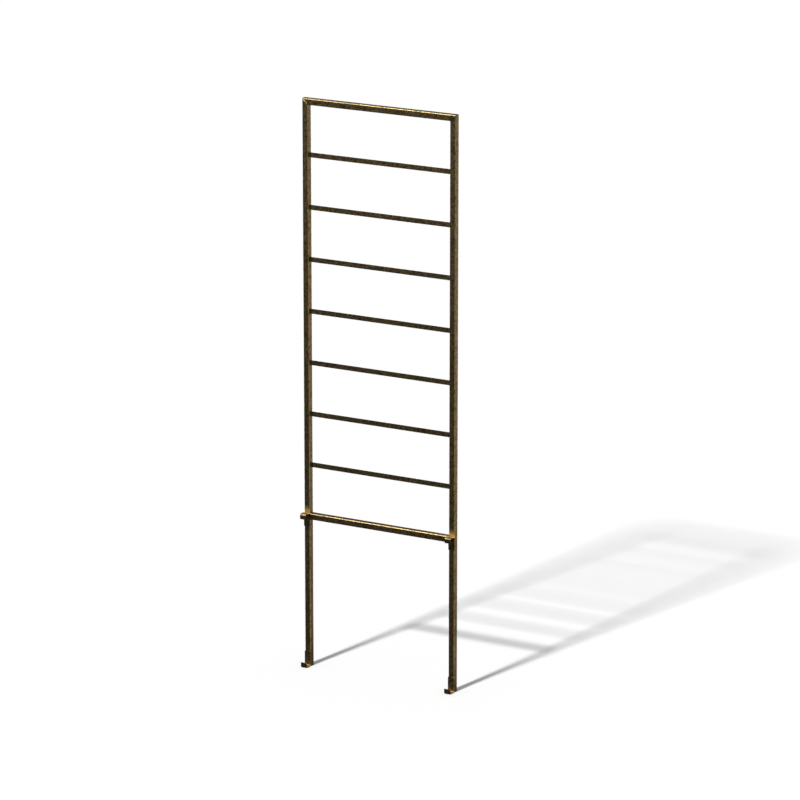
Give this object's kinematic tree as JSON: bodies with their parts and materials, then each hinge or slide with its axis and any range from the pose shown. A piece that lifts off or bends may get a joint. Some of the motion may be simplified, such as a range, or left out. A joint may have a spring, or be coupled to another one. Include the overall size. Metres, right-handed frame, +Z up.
{
  "type": "espalier frame",
  "caption": "Tall welded ladder of square tube with flat-bar rungs and bent strip hooks that clip it to a planter wall, to train an espalier or climber on.",
  "frame": {"origin": "on the floor, midway between the uprights and midway between the hooks' lips and the back", "axes": "+Z up along the uprights, X across the width with +X to the right seen from the hooks, +Y from the hooks to the back"},
  "size_m": [0.656, 0.058, 2.22],
  "materials": {
    "bronze_steel": "speckled metallic antique bronze, satin",
    "weld_bead": "rippled bead under the same bronze coat",
    "plug_plastic": "matt black polyethylene"
  },
  "bodies": {
    "root": {"left_upright": "bronze_steel", "right_upright": "bronze_steel", "top_rail": "bronze_steel", "lower_rail": "bronze_steel", "rung_1": "bronze_steel", "rung_2": "bronze_steel", "rung_3": "bronze_steel", "rung_4": "bronze_steel", "rung_5": "bronze_steel", "rung_6": "bronze_steel", "rung_7": "bronze_steel", "left_foot_hook": "bronze_steel", "right_foot_hook": "bronze_steel", "left_upper_hook": "bronze_steel", "right_upper_hook": "bronze_steel", "left_corner_weld": "weld_bead", "right_corner_weld": "weld_bead", "left_rung_welds": "weld_bead", "right_rung_welds": "weld_bead", "left_lower_rail_weld": "weld_bead", "right_lower_rail_weld": "weld_bead", "left_foot_hook_weld": "weld_bead", "right_foot_hook_weld": "weld_bead", "left_upper_hook_weld": "weld_bead", "right_upper_hook_weld": "weld_bead", "left_foot_plug": "plug_plastic", "right_foot_plug": "plug_plastic"}
  },
  "joints": []
}
